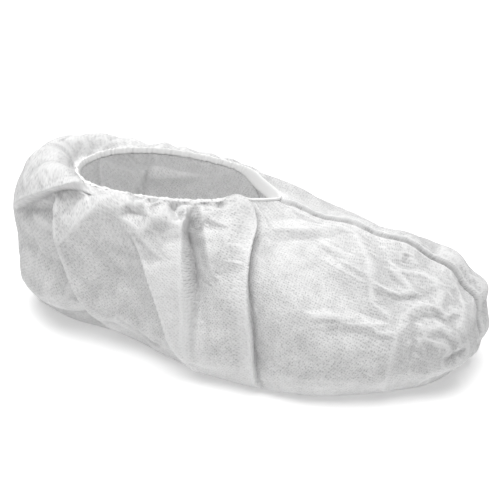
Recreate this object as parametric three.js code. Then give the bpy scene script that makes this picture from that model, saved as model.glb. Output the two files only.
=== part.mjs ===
// Non-skid shoe cover: two panels of white nonwoven fabric, sewn together along the centre line
// and drawn in round the foot opening by an elastic hem.
// Millimetres. +X points to the toe, +Y to the wearer's left, +Z up, and the sole rests on z = 0.

import * as THREE from "three";
import { mergeVertices } from "three/addons/utils/BufferGeometryUtils.js";

// Fabric and gaps
const WALL = 1; // fabric thickness
const SEAM_GAP = 0.3; // between the two panels, all along the centre line
const HEM_GAP = 0.35; // between the hem and the panels' rim

// Hem round the opening
const HEM_THICK = 2.4;
const HEM_HEIGHT = 5; // over the elastic stretch
const HEM_FRONT_HEIGHT = 6.5; // along the plain edges of the front notch
const HEM_DROP = 1.6; // how far the hem reaches below the rim
const HEM_SCALLOP = 0.5; // rise and fall of the hem with the gathers
const HEM_SECTION_SIDES = 8;
const HEM_SQUARENESS = 0.7; // 1 is an ellipse, smaller is squarer

// Sole
const SOLE_CENTRE_SHARE = 0.8; // where the centre line's sole points lie, as a share of the sole edge's x
const HEEL_AXIS_X = -105; // the sole's edge is set in toward the centre line between these two places
const TOE_AXIS_X = 95;

// Seam
const TOE_SEAM_SINK = 3; // depth of the groove that the stitching pulls in
const HEEL_SEAM_SINK = 1.5;
const SEAM_SINK_WIDTH = 6;
const PUCKER_HEIGHT = 1.4; // waves that the stitching leaves along the seam
const PUCKER_WIDTH = 18;
const PUCKERS = 6; // waves from the opening to the toe's widest point

// Folds
const FOLD_SAMPLES = 16; // points along each fold's path
const FOLD_END_SHARE = 0.18; // share of a fold over which it fades in or out
const RIM_FADE = 0.07; // folds fade in over this depth below the rim
const FLOOR_FADE = [1.1, 1.45]; // and fade out over these depths, above the sole
const SEAM_FADE = 14; // and within this distance of the centre line

// Small gathers under the elastic
const GATHER_PITCH = 0.36; // stations from one gather to the next
const GATHER_HEIGHT = 2.2;
const GATHER_DEPTH = 0.1; // depth below the rim where they are highest
const GATHER_FADE = 0.5; // stations over which they fade in

// Grid of each panel: columns in each space between two stations, toe first, and the depths of the rings
const COLUMNS_PER_SPACE = [7, 7, 8, 10, 11, 11, 11];
const RING_DEPTHS = [
  0, 0.05, 0.12, 0.2, 0.29, 0.39, 0.5, 0.61, 0.73, 0.86, 1, 1.12, 1.24, 1.37, 1.5, 1.75, 2,
];
const BELLY_DEPTH = 1;
const SOLE_EDGE_DEPTH = 1.5;
const SOLE_CENTRE_DEPTH = 2;

// Stations round the left half, from the toe's seam back to the heel's. Each row describes one line that
// runs down the fabric: rim is where it meets the hem, crest pulls it outward as it leaves the rim, rise is
// how steeply it drops to the belly (its widest point), and inset is how far the sole's edge lies further in.
const STATIONS = [
  { at: "front seam", rim: [20, 0, 106], crest: [82, 0, 93], rise: 57, belly: [160, 0, 36], inset: 24 },
  { at: "toe corner", rim: [17, 5, 107], crest: [72, 24, 82], rise: 46, belly: [148, 34, 35], inset: 29 },
  { at: "ball", rim: [6, 13, 109], crest: [42, 35, 79], rise: 38, belly: [109, 55, 34], inset: 22 },
  { at: "instep", rim: [-10, 24, 112], crest: [10, 44, 98], rise: 42, belly: [55, 71, 34], inset: 15 },
  { at: "arch", rim: [-36, 32, 112], crest: [-36, 49, 111], rise: 44, belly: [-10, 67, 36], inset: 14 },
  { at: "heel side", rim: [-72, 34, 112], crest: [-82, 50, 125], rise: 52, belly: [-78, 50, 40], inset: 29 },
  { at: "heel bend", rim: [-105, 24, 111], crest: [-122, 40, 137], rise: 58, belly: [-139, 38, 42], inset: 34 },
  { at: "heel back", rim: [-119, 0, 110], crest: [-138, 0, 147], rise: 62, belly: [-167, 0, 44], inset: 22 },
];
const LAST_STATION = STATIONS.length - 1;

// Folds that run down a panel, each along a curve through three places given as [station, depth], where depth
// is 0 at the rim, 1 at the belly and 1.5 at the sole's edge. height is above the fabric, or below it where
// negative, and toe and heel are how far the fold spreads toward each of them.
const RIGHT_FOLDS = [
  { name: "heel hollow", path: [[6.1, 0.62], [5.86, 0.8], [5.75, 1]], height: -5, toe: 8, heel: 22 },
  { name: "heel billow", path: [[5.9, 0.48], [5.62, 0.82], [5.3, 1.15]], height: 6, toe: 34, heel: 7 },
  { name: "heel rim valley", path: [[5.2, 0.12], [5.33, 0.45], [5.55, 0.66]], height: -4, toe: 7, heel: 14 },
  { name: "slanting ridge", path: [[5.05, 0.1], [5.23, 0.48], [5.6, 0.76]], height: 4, toe: 14, heel: 8 },
  { name: "puff below rim", path: [[4.68, 0.26], [4.65, 0.38], [4.6, 0.5]], height: 4, toe: 12, heel: 12 },
  { name: "side edge", path: [[4.72, 0.45], [4.45, 0.86], [4.12, 1.2]], height: 5, toe: 12, heel: 24 },
  { name: "first pleat", path: [[4.5, 0.02], [4.42, 0.28], [4.36, 0.42]], height: -3.5, toe: 6, heel: 6 },
  { name: "second pleat", path: [[4.14, 0.02], [4.03, 0.24], [3.98, 0.4]], height: -4, toe: 6, heel: 6 },
  { name: "main valley", path: [[3.62, 0.02], [3.86, 0.48], [4.08, 1]], height: -9, toe: 18, heel: 7 },
  { name: "rim puff", path: [[2.7, 0.04], [2.9, 0.12], [3.1, 0.28]], height: 8, toe: 14, heel: 18 },
  { name: "instep lobe", path: [[2, 0.05], [3.25, 0.52], [3.38, 1.2]], height: 7, toe: 9, heel: 30 },
  { name: "instep valley", path: [[1.6, 0.04], [3.1, 0.5], [3.3, 1.1]], height: -5, toe: 24, heel: 9 },
  { name: "vamp line", path: [[2.58, 0.62], [2.36, 0.74], [2, 0.84]], height: 2, toe: 7, heel: 7 },
  { name: "vamp ridge", path: [[0.38, 0.29], [0.85, 0.38], [1.43, 0.52]], height: 4, toe: 7, heel: 16 },
  { name: "toe side ridge", path: [[1.53, 0.72], [1.88, 0.93], [2, 1.2]], height: 4, toe: 7, heel: 14 },
  { name: "toe side valley", path: [[1.4, 0.8], [1.7, 0.95], [1.85, 1.2]], height: -3, toe: 9, heel: 6 },
  { name: "toe slant", path: [[0.3, 0.58], [0.45, 0.67], [0.5, 0.8]], height: 2.5, toe: 7, heel: 7 },
];
const LEFT_FOLDS = [
  { name: "heel billow", path: [[5.6, 0.3], [5.7, 0.7], [5.4, 1.1]], height: 5, toe: 24, heel: 8 },
  { name: "heel valley", path: [[4.9, 0.03], [5.1, 0.4], [5.2, 0.9]], height: -5, toe: 14, heel: 8 },
  { name: "main valley", path: [[3.8, 0.02], [4, 0.5], [4.1, 1]], height: -7, toe: 14, heel: 8 },
  { name: "instep lobe", path: [[3.1, 0.25], [3.35, 0.6], [3.4, 1.15]], height: 5, toe: 9, heel: 26 },
  { name: "instep valley", path: [[1.9, 0.06], [2.7, 0.35], [3, 1]], height: -5, toe: 20, heel: 14 },
  { name: "notch puff", path: [[0.5, 0.1], [0.6, 0.17], [0.7, 0.24]], height: 3, toe: 10, heel: 10 },
  { name: "toe puff", path: [[0.4, 0.55], [0.45, 0.7], [0.5, 0.9]], height: 4, toe: 16, heel: 16 },
  { name: "toe side ridge", path: [[1.5, 0.7], [1.8, 0.95], [1.9, 1.2]], height: 4, toe: 8, heel: 14 },
];

// Creases that run along a panel, from the toe toward the heel, with their spread above and below.
const RIGHT_CREASES = [
  { name: "heel cuff", path: [[5.45, 0.2], [5.93, 0.46], [6.75, 0.8]], height: 5, above: 22, below: 6 },
  { name: "puff by notch", path: [[0.4, 0.12], [0.9, 0.08], [1.8, 0.09]], height: 4, above: 7, below: 8 },
  { name: "under puff", path: [[0.3, 0.2], [1.27, 0.15], [2.2, 0.16]], height: -2.5, above: 6, below: 6 },
  { name: "dent on toe", path: [[0.5, 0.42], [0.6, 0.41], [0.7, 0.4]], height: -4, above: 11, below: 9 },
  { name: "toe top crease", path: [[0.23, 0.58], [0.6, 0.52], [0.95, 0.45]], height: -3, above: 7, below: 8 },
  { name: "toe crease", path: [[0.94, 0.61], [1.25, 0.59], [1.55, 0.55]], height: 2.5, above: 7, below: 8 },
  { name: "crumple", path: [[0.85, 0.73], [1.06, 0.73], [1.27, 0.73]], height: -3.5, above: 9, below: 9 },
  { name: "corner crease", path: [[0.84, 0.98], [1.13, 0.83], [1.39, 0.76]], height: 2.5, above: 7, below: 7 },
  { name: "toe tuck", path: [[0.75, 1.03], [1.02, 1.02], [1.24, 1.04]], height: -4, above: 7, below: 9 },
  { name: "heel tuck", path: [[4.6, 1.17], [4.8, 1.14], [5, 1.08]], height: -4, above: 7, below: 8 },
];
const LEFT_CREASES = [
  { name: "heel cuff", path: [[5.3, 0.24], [5.9, 0.44], [6.7, 0.7]], height: 3, above: 16, below: 8 },
  { name: "dent on toe", path: [[0.6, 0.44], [0.8, 0.43], [1, 0.42]], height: -4, above: 11, below: 10 },
  { name: "toe crumple", path: [[0.8, 0.75], [1.1, 0.72], [1.4, 0.7]], height: -3, above: 9, below: 9 },
];

// Stretch of each panel, in stations, that carries small gathers under the elastic
const RIGHT_GATHERS = [5.2, 6.9];
const LEFT_GATHERS = [3.4, 6.9];

const UP = new THREE.Vector3(0, 0, 1);
const DOWN = new THREE.Vector3(0, 0, -1);

// The closed curve through one control of every station and its mirror image on the right half.
function closedLoop(leftPoints) {
  const rightPoints = leftPoints
    .slice(1, -1)
    .reverse()
    .map((point) => new THREE.Vector3(point.x, -point.y, point.z));
  return new THREE.CatmullRomCurve3([...leftPoints, ...rightPoints], true, "catmullrom", 0.5);
}

// The sole's edge under a belly point: set in by the inset, toward the centre line.
function soleEdge({ belly, inset }) {
  const edge = new THREE.Vector3(belly[0], belly[1], 0);
  const target = new THREE.Vector3(THREE.MathUtils.clamp(belly[0], HEEL_AXIS_X, TOE_AXIS_X), 0, 0);
  return edge.add(target.sub(edge).setLength(inset));
}

const LOOPS = {
  rim: closedLoop(STATIONS.map(({ rim }) => new THREE.Vector3(...rim))),
  crest: closedLoop(STATIONS.map(({ crest }) => new THREE.Vector3(...crest))),
  shoulder: closedLoop(
    STATIONS.map(({ belly, rise }) => new THREE.Vector3(...belly).addScaledVector(UP, rise)),
  ),
  belly: closedLoop(STATIONS.map(({ belly }) => new THREE.Vector3(...belly))),
  sole: closedLoop(STATIONS.map(soleEdge)),
};

function onLoop(name, station) {
  return LOOPS[name].getPoint(station / (2 * LAST_STATION));
}

// The smooth form without folds: down from the rim to the belly, round to the sole's edge, across the sole.
function formPoint(station, depth) {
  const belly = onLoop("belly", station);
  if (depth <= BELLY_DEPTH) {
    const controls = ["rim", "crest", "shoulder"].map((name) => onLoop(name, station));
    return new THREE.CubicBezierCurve3(...controls, belly).getPoint(depth);
  }
  const sole = onLoop("sole", station);
  if (depth <= SOLE_EDGE_DEPTH) {
    const angle = ((depth - BELLY_DEPTH) / (SOLE_EDGE_DEPTH - BELLY_DEPTH)) * (Math.PI / 2);
    const point = new THREE.Vector3(belly.x, belly.y, 0).lerp(sole, 1 - Math.cos(angle));
    return point.setZ(belly.z * (1 - Math.sin(angle)));
  }
  const across = (depth - SOLE_EDGE_DEPTH) / (SOLE_CENTRE_DEPTH - SOLE_EDGE_DEPTH);
  return sole.clone().lerp(new THREE.Vector3(sole.x * SOLE_CENTRE_SHARE, 0, 0), across);
}

// The outward direction of the smooth form on the left half.
function formNormal(station, depth) {
  const step = 0.01;
  const along = formPoint(station + step, depth).sub(formPoint(station - step, depth));
  const below = Math.min(depth + step, SOLE_CENTRE_DEPTH);
  const down = formPoint(station, below).sub(formPoint(station, Math.max(depth - step, 0)));
  return down.cross(along).normalize();
}

// A place on the curve through three [station, depth] places, share running from 0 to 1.
function pathPlace([from, middle, to], share) {
  const weights = [
    2 * (share - 0.5) * (share - 1),
    4 * share * (1 - share),
    2 * share * (share - 0.5),
  ];
  return [0, 1].map((axis) => weights[0] * from[axis] + weights[1] * middle[axis] + weights[2] * to[axis]);
}

// A fold ready to be measured: the points of its path on the form and the outward directions there.
function tracedFold({ path, height }, plusSide, minusSide) {
  const places = Array.from({ length: FOLD_SAMPLES }, (_, i) => pathPlace(path, i / (FOLD_SAMPLES - 1)));
  return {
    height,
    plusSide,
    minusSide,
    points: places.map(([station, depth]) => formPoint(station, depth)),
    normals: places.map(([station, depth]) => formNormal(station, depth)),
  };
}

// Walking down a fold on the left half, the toe is on the right hand; walking toward the heel, below is.
function tracedFolds(folds, creases) {
  return [
    ...folds.map((fold) => tracedFold(fold, fold.toe, fold.heel)),
    ...creases.map((crease) => tracedFold(crease, crease.below, crease.above)),
  ];
}

// How far a fold lifts the fabric at a point: highest on its path, fading to both sides and at its ends.
function foldLift(point, { points, normals, height, plusSide, minusSide }) {
  let nearest = Infinity;
  let share = 0;
  let side = 0;
  const segment = new THREE.Line3();
  const closest = new THREE.Vector3();
  for (let i = 0; i + 1 < points.length; i += 1) {
    segment.set(points[i], points[i + 1]);
    const t = segment.closestPointToPointParameter(point, true);
    segment.at(t, closest);
    const distance = closest.distanceTo(point);
    if (distance < nearest) {
      nearest = distance;
      share = (i + t) / (points.length - 1);
      side = segment.delta(new THREE.Vector3()).cross(normals[i]).dot(point.clone().sub(closest));
    }
  }
  const spread = side > 0 ? plusSide : minusSide;
  const ends =
    THREE.MathUtils.smoothstep(share, 0, FOLD_END_SHARE) *
    THREE.MathUtils.smoothstep(1 - share, 0, FOLD_END_SHARE);
  return height * ends * Math.exp(-((nearest / spread) ** 2));
}

// Small regular gathers that start at the rim and die away down the fabric.
function gatherLift(station, depth, [from, to]) {
  const stretch =
    THREE.MathUtils.smoothstep(station, from, from + GATHER_FADE) *
    THREE.MathUtils.smoothstep(to - station, 0, GATHER_FADE);
  const reach = (depth / GATHER_DEPTH) * Math.exp(1 - depth / GATHER_DEPTH);
  return GATHER_HEIGHT * stretch * reach * Math.cos((2 * Math.PI * station) / GATHER_PITCH);
}

// The groove of the centre seam and the waves that its stitching leaves beside it.
function seamLift(point, station, depth) {
  const atToe = station < LAST_STATION / 2;
  const sink = atToe ? TOE_SEAM_SINK : HEEL_SEAM_SINK;
  const groove = -sink * Math.exp(-((point.y / SEAM_SINK_WIDTH) ** 2));
  const wave = Math.sin(2 * Math.PI * PUCKERS * depth) * Math.exp(-((point.y / PUCKER_WIDTH) ** 2));
  return groove + (atToe ? PUCKER_HEIGHT * wave : 0);
}

// A point of the folded fabric's outer face on the left half.
function fabricPoint(station, depth, folds, gathers) {
  const point = formPoint(station, depth);
  if (depth >= SOLE_EDGE_DEPTH) {
    return point;
  }
  const rimFade = THREE.MathUtils.smoothstep(depth, 0, RIM_FADE);
  const floorFade = 1 - THREE.MathUtils.smoothstep(depth, ...FLOOR_FADE);
  const seamFade = THREE.MathUtils.smoothstep(point.y, 0, SEAM_FADE);
  let lift = gatherLift(station, depth, gathers);
  for (const fold of folds) {
    lift += foldLift(point, fold);
  }
  lift = rimFade * floorFade * (lift * seamFade + seamLift(point, station, depth));
  point.addScaledVector(formNormal(station, depth), lift);
  point.y = Math.max(point.y, 0);
  point.z = Math.max(point.z, 0);
  return point;
}

// The outward direction at one point of a grid of outer points. The sole faces down, and where the fabric
// slopes away from the opening its rim is cut upright, so that it never leans into the hem.
function gridNormal(grid, i, j) {
  if (RING_DEPTHS[j] >= SOLE_EDGE_DEPTH) {
    return DOWN.clone();
  }
  const onSeam = i === 0 || i === grid.length - 1;
  const along = grid[Math.min(i + 1, grid.length - 1)][j].clone().sub(grid[Math.max(i - 1, 0)][j]);
  const down = grid[i][j + 1].clone().sub(grid[i][Math.max(j - 1, 0)]);
  const normal = down.cross(along);
  if (j === 0 && normal.dot(UP.clone().cross(along)) < 0) {
    return UP.clone();
  }
  return (onSeam ? normal.setY(0) : normal).normalize();
}

// Two triangles for every cell of a grid of points, facing rows-down cross rows-along.
function addPatch(positions, rows) {
  for (let i = 0; i + 1 < rows.length; i += 1) {
    for (let j = 0; j + 1 < rows[i].length; j += 1) {
      const [a, b, c, d] = [rows[i][j], rows[i][j + 1], rows[i + 1][j], rows[i + 1][j + 1]];
      for (const corner of [a, b, c, b, d, c]) {
        positions.push(corner.x, corner.y, corner.z);
      }
    }
  }
}

function closedGeometry(positions) {
  const geometry = new THREE.BufferGeometry();
  geometry.setAttribute("position", new THREE.Float32BufferAttribute(positions, 3));
  const merged = mergeVertices(geometry, 1e-4);
  merged.computeVertexNormals();
  return merged;
}

function stationList() {
  const spaces = COLUMNS_PER_SPACE.flatMap((count, space) =>
    Array.from({ length: count }, (_, i) => space + i / count),
  );
  return [...spaces, LAST_STATION];
}

// One panel as a closed wall: its outer face, its inner face one wall in, and the four edges between them.
// mirror is 1 for the left panel and -1 for the right one.
function panelGeometry(folds, creases, gathers, mirror) {
  const traced = tracedFolds(folds, creases);
  const outer = stationList().map((station) =>
    RING_DEPTHS.map((depth) => fabricPoint(station, depth, traced, gathers)),
  );
  const inner = outer.map((column, i) =>
    column.map((point, j) => point.clone().addScaledVector(gridNormal(outer, i, j), -WALL)),
  );
  for (const point of [...outer.flat(), ...inner.flat()]) {
    point.y = mirror * (Math.max(point.y, 0) + SEAM_GAP / 2);
  }
  const last = RING_DEPTHS.length - 1;
  const patches = [
    outer,
    inner.toReversed(),
    [inner[0], outer[0]],
    [outer.at(-1), inner.at(-1)],
    outer.map((column, i) => [inner[i][0], column[0]]),
    outer.map((column, i) => [column[last], inner[i][last]]),
  ];
  const positions = [];
  for (const patch of patches) {
    addPatch(positions, mirror > 0 ? patch : patch.toReversed());
  }
  return closedGeometry(positions);
}

// The hem's section at one place of the rim: a squarish oval standing just inside it.
function hemSection(station) {
  const step = 0.01;
  const along = onLoop("rim", station + step).sub(onLoop("rim", station - step)).setZ(0).normalize();
  const inward = UP.clone().cross(along);
  const fromFront = Math.min(station, 2 * LAST_STATION - station);
  const elastic = THREE.MathUtils.smoothstep(fromFront, 2.5, 3.5);
  const height = THREE.MathUtils.lerp(HEM_FRONT_HEIGHT, HEM_HEIGHT, elastic);
  const scallop = elastic * HEM_SCALLOP * Math.cos((2 * Math.PI * station) / GATHER_PITCH);
  const centre = onLoop("rim", station)
    .addScaledVector(inward, HEM_GAP + HEM_THICK / 2)
    .addScaledVector(UP, height / 2 - HEM_DROP + scallop);
  const squared = (value) => Math.sign(value) * Math.abs(value) ** HEM_SQUARENESS;
  return Array.from({ length: HEM_SECTION_SIDES + 1 }, (_, i) => {
    const angle = (2 * Math.PI * (i % HEM_SECTION_SIDES) + Math.PI) / HEM_SECTION_SIDES;
    return centre
      .clone()
      .addScaledVector(inward, (HEM_THICK / 2) * squared(Math.cos(angle)))
      .addScaledVector(UP, (height / 2) * squared(Math.sin(angle)));
  });
}

function hemGeometry() {
  const left = stationList();
  const right = left.slice(1).map((_, i) => 2 * LAST_STATION - left[left.length - 2 - i]);
  const positions = [];
  addPatch(positions, [...left, ...right].map(hemSection));
  return closedGeometry(positions);
}

function fabricMesh(name, geometry, color) {
  const material = new THREE.MeshStandardMaterial({ color, roughness: 0.9, metalness: 0 });
  const mesh = new THREE.Mesh(geometry, material);
  mesh.name = name;
  return mesh;
}

const PANEL_WHITE = 0xf2f2f0;
const HEM_WHITE = 0xf7f7f5;

const shoeCover = new THREE.Group();
shoeCover.add(
  fabricMesh("left_panel", panelGeometry(LEFT_FOLDS, LEFT_CREASES, LEFT_GATHERS, 1), PANEL_WHITE),
  fabricMesh("right_panel", panelGeometry(RIGHT_FOLDS, RIGHT_CREASES, RIGHT_GATHERS, -1), PANEL_WHITE),
  fabricMesh("elastic_hem", hemGeometry(), HEM_WHITE),
);

// The middle of the cover's length and width stands over the origin.
const middle = new THREE.Box3().setFromObject(shoeCover).getCenter(new THREE.Vector3());
shoeCover.position.set(-middle.x, -middle.y, 0);
shoeCover.updateMatrixWorld(true);

export default shoeCover;
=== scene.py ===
# %% [markdown]
# # A non-skid shoe cover
# The real thing is a loose overshoe of white spunbond fabric: two panels sewn together along the centre
# line, gathered round the foot opening by an elastic hem. The imported model gives the frame that everything
# here is placed in, so it is loaded first.

# %% Load the frame
import math
from collections import namedtuple

import bpy
import numpy as np
from mathutils import Matrix, Vector
from mathutils.geometry import delaunay_2d_cdt


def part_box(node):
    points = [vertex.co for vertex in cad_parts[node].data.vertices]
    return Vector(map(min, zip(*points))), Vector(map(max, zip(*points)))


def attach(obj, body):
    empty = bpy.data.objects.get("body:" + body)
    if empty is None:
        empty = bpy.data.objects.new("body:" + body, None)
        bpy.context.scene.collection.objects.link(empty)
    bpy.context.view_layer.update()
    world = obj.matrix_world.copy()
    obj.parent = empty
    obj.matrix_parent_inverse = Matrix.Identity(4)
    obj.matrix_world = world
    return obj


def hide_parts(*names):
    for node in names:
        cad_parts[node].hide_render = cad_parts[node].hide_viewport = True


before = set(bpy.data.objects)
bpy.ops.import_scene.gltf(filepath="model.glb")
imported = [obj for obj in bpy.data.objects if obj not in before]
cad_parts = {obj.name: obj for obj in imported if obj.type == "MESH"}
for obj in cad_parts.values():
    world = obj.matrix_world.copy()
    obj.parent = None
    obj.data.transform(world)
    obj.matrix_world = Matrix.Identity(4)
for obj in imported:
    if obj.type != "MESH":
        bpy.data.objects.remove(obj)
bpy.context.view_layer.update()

MM = 0.001
scene = bpy.context.scene
rng = np.random.default_rng(17)

# %% [markdown]
# ## The form without folds
# A sewn cover filled out on a foot is a bag whose lines run down from the rim, over a soft crest, to the
# widest point (the belly) and under to the sole. It could be sculpted, but a table of eight such lines,
# joined by smooth closed loops, is easy to read and to correct. Sizes are in millimetres, on the left half.

# %% The table of stations, from the toe's seam back to the heel's
Station = namedtuple("Station", "name rim crest rise belly inset")
STATIONS = [
    Station("front seam", (20, 0, 106), (82, 0, 93), 57, (160, 0, 36), 24),
    Station("toe corner", (17, 5, 107), (72, 24, 82), 46, (148, 34, 35), 29),
    Station("ball", (6, 13, 109), (42, 35, 79), 38, (109, 55, 34), 22),
    Station("instep", (-10, 24, 112), (10, 44, 98), 42, (55, 71, 34), 15),
    Station("arch", (-36, 32, 112), (-36, 49, 111), 44, (-10, 67, 36), 14),
    Station("heel side", (-72, 34, 112), (-82, 50, 125), 52, (-78, 50, 40), 29),
    Station("heel bend", (-105, 24, 111), (-122, 40, 137), 58, (-139, 38, 42), 34),
    Station("heel back", (-119, 0, 110), (-138, 0, 147), 62, (-167, 0, 44), 22),
]
LAST_STATION = len(STATIONS) - 1
BELLY_DEPTH, SOLE_EDGE_DEPTH, SOLE_CENTRE_DEPTH = 1.0, 1.5, 2.0
UNDER_DEPTH, SOLE_DEPTH = SOLE_EDGE_DEPTH - BELLY_DEPTH, SOLE_CENTRE_DEPTH - SOLE_EDGE_DEPTH
SOLE_CENTRE_SHARE = 0.8
HEEL_AXIS_X, TOE_AXIS_X = -105, 95


def closed_ring(points):
    """The stations' points on the left half, followed by their mirror images on the right half."""
    left = np.array(points, float)
    return np.concatenate([left, left[-2:0:-1] * (1, -1, 1)])


def sole_edge(station):
    """The sole's edge: straight under the belly, then set in toward the centre line."""
    under = np.array((station.belly[0], station.belly[1], 0.0))
    target = np.array((np.clip(under[0], HEEL_AXIS_X, TOE_AXIS_X), 0, 0))
    inward = (target - under) / np.linalg.norm(target - under)
    return under + inward * station.inset


print("sole's edge at the heel's back:", sole_edge(STATIONS[-1]).round(1))

# %% The smooth form through the table
SMALL_STEP = 0.01
RINGS = {
    "rim": closed_ring([s.rim for s in STATIONS]),
    "crest": closed_ring([s.crest for s in STATIONS]),
    "shoulder": closed_ring([np.add(s.belly, (0, 0, s.rise)) for s in STATIONS]),
    "belly": closed_ring([s.belly for s in STATIONS]),
    "sole": closed_ring([sole_edge(s) for s in STATIONS]),
}


def on_ring(name, station):
    """Points of a closed Catmull-Rom curve through one ring of the table, at stations 0 to 14."""
    ring = RINGS[name]
    first = np.floor(station).astype(int)
    share = (station - first)[:, None]
    before, start, end, after = (ring[(first + k) % len(ring)] for k in (-1, 0, 1, 2))
    leave, arrive = (end - before) / 2, (after - start) / 2
    cubic = 2 * start - 2 * end + leave + arrive
    square = -3 * start + 3 * end - 2 * leave - arrive
    return ((cubic * share + square) * share + leave) * share + start


def form_points(station, depth):
    """The smooth form: rim to belly as a Bezier curve, a quarter oval to the sole's edge, then flat."""
    station, depth = np.broadcast_arrays(np.asarray(station, float), np.asarray(depth, float))
    rim, crest, shoulder, belly, sole = (on_ring(name, station) for name in RINGS)
    t = np.clip(depth, 0, BELLY_DEPTH)[:, None]
    upper = (1 - t) ** 3 * rim + 3 * (1 - t) ** 2 * t * crest + 3 * (1 - t) * t**2 * shoulder + t**3 * belly
    turn = np.clip((depth - BELLY_DEPTH) / UNDER_DEPTH, 0, 1)[:, None] * math.pi / 2
    level = belly * (1, 1, 0)
    round_under = level + (sole - level) * (1 - np.cos(turn))
    round_under[:, 2] = belly[:, 2] * (1 - np.sin(turn[:, 0]))
    across = np.clip((depth - SOLE_EDGE_DEPTH) / SOLE_DEPTH, 0, 1)[:, None]
    flat = sole * (1 - across) + sole * (SOLE_CENTRE_SHARE, 0, 0) * across
    below = np.where((depth < SOLE_EDGE_DEPTH)[:, None], round_under, flat)
    return np.where((depth < BELLY_DEPTH)[:, None], upper, below)


def unit(vectors):
    """The vectors, each made one long."""
    return vectors / (np.linalg.norm(vectors, axis=-1, keepdims=True) + 1e-12)


def form_normals(station, depth):
    """Outward directions of the smooth form, from small steps along and down it."""
    along = form_points(station + SMALL_STEP, depth) - form_points(station - SMALL_STEP, depth)
    low, high = np.minimum(depth + SMALL_STEP, SOLE_CENTRE_DEPTH), np.maximum(depth - SMALL_STEP, 0)
    return unit(np.cross(form_points(station, low) - form_points(station, high), along))


print("form: %d stations, %.0f mm long" % (len(STATIONS), np.ptp(RINGS["belly"][:, 0])))

# %% [markdown]
# ## Folds
# Nonwoven fabric creases like soft paper: crisp ridges with flat flanks, deep tucks under the elastic and
# small crumples at the toe. Painting a height map could give them, but every main fold has its own place, so
# each one is a row: a path through three (station, depth) places, a height, how far it spreads to each
# side, how round its edge is, and how far it leans over. Depth is 0 at the rim, 1 at the belly. A pleat also
# has a drop behind its edge. Each fold also paints light and shade into the cloth's colour: a painted
# highlight, above 0, on a strip beside a pleat's edge where the cloth lies double, and painted shade,
# below 0, in the hollow behind a pleat.

# %% How one fold lifts the fabric
Fold = namedtuple("Fold", "name path height plus minus edge lean drop fade doubled", defaults=(0, 0, 0.14, 0))
FOLD_SAMPLES = 32
SPREAD_REACH = 1.5
FLANK_POWER = 1.6
PLEAT_POWER = 1.3
LEAN_REACH = 9.0
# How a pleat's painted highlight and painted shade spread: the share of the highlighted strip that is fully
# white, and the drop whose hollow gets the full painted shade.
HIGHLIGHT_FULL_SHARE = 0.6
FULL_SHADE_DROP = 10.0


def smooth(value, low, high):
    """0 below low, 1 above high, with an S-shaped change between them."""
    t = np.clip((value - low) / (high - low), 0, 1)
    return t * t * (3 - 2 * t)


def path_places(path, samples):
    """Places along the curve through three places."""
    t = np.linspace(0, 1, samples)[:, None]
    first, middle, last = (np.array(place, float) for place in path)
    return 2 * (t - 0.5) * (t - 1) * first + 4 * t * (1 - t) * middle + 2 * t * (t - 0.5) * last


def flank(distance, spread, power=FLANK_POWER):
    """A fold's flank: 1 at its crest, nearly straight down, and 0 from its reach on."""
    return np.clip(1 - distance / (SPREAD_REACH * spread), 0, 1) ** power


def add_fold(fold, points, lift, shift, painted_shading):
    """Adds one fold's height to lift, its lean to shift and its painted light and shade to the last argument,
    near its path on the form.

    A fold with a drop is a pleat: its plus side falls sharply from the crest to below the form."""
    places = path_places(fold.path, FOLD_SAMPLES)
    line = form_points(places[:, 0], places[:, 1])
    normals = form_normals(places[:, 0], places[:, 1])
    reach = SPREAD_REACH * max(fold.plus, fold.minus) + 2 * fold.edge
    near = np.nonzero(np.all((points > line.min(0) - reach) & (points < line.max(0) + reach), axis=1))[0]
    start, run = line[:-1], np.diff(line, axis=0)
    offset = points[near, None] - start
    t = np.clip((offset * run).sum(-1) / (run**2).sum(-1), 0, 1)
    gap = offset - t[..., None] * run
    distance = np.linalg.norm(gap, axis=-1)
    best = distance.argmin(1)
    row = np.arange(len(near))
    share = (best + t[row, best]) / (FOLD_SAMPLES - 1)
    plus_way = unit(np.cross(run[best], normals[best]))
    side = (plus_way * gap[row, best]).sum(-1)
    d = distance[row, best]
    ends = smooth(share, 0, fold.fade) * smooth(1 - share, 0, fold.fade)
    if fold.drop:
        fall = smooth(side, 0, 2 * fold.edge)
        rise = fold.height * flank(np.where(side < 0, d, 0), fold.minus, PLEAT_POWER)
        hollow = -fold.drop * flank(np.maximum(d - 2 * fold.edge, 0), fold.plus)
        lift[near] += ends * (rise * (1 - fall) + hollow * fall)
        over = np.exp(-((np.minimum(side, 0) / LEAN_REACH) ** 2)) * (1 - fall)
        # Painted shade in the hollow behind the pleat, fuller where the drop is deeper.
        thin = ends * fall * flank(d, fold.plus) * min(fold.drop / FULL_SHADE_DROP, 1)
        painted_shading[near] -= thin
        # A painted highlight on the strip beside the pleat's edge, on its crest side, where the cloth lies
        # double.
        if fold.doubled:
            highlight_share = ends * (1 - fall) * (1 - smooth(-side, fold.doubled * HIGHLIGHT_FULL_SHARE, fold.doubled))
            painted_shading[near] += np.where(d < reach, highlight_share, 0)
    else:
        spread = fold.minus + (fold.plus - fold.minus) * smooth(side, -fold.edge, fold.edge)
        strength = flank(np.sqrt(d * d + fold.edge**2) - fold.edge, spread)
        lift[near] += ends * fold.height * strength
        over = strength**2
    shift[near] += plus_way * (fold.lean * ends * over)[:, None]


print("a flank of spread 10 at 0, 5, 10 and 15 mm:", flank(np.array((0, 5, 10, 15)), 10).round(2))

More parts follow.
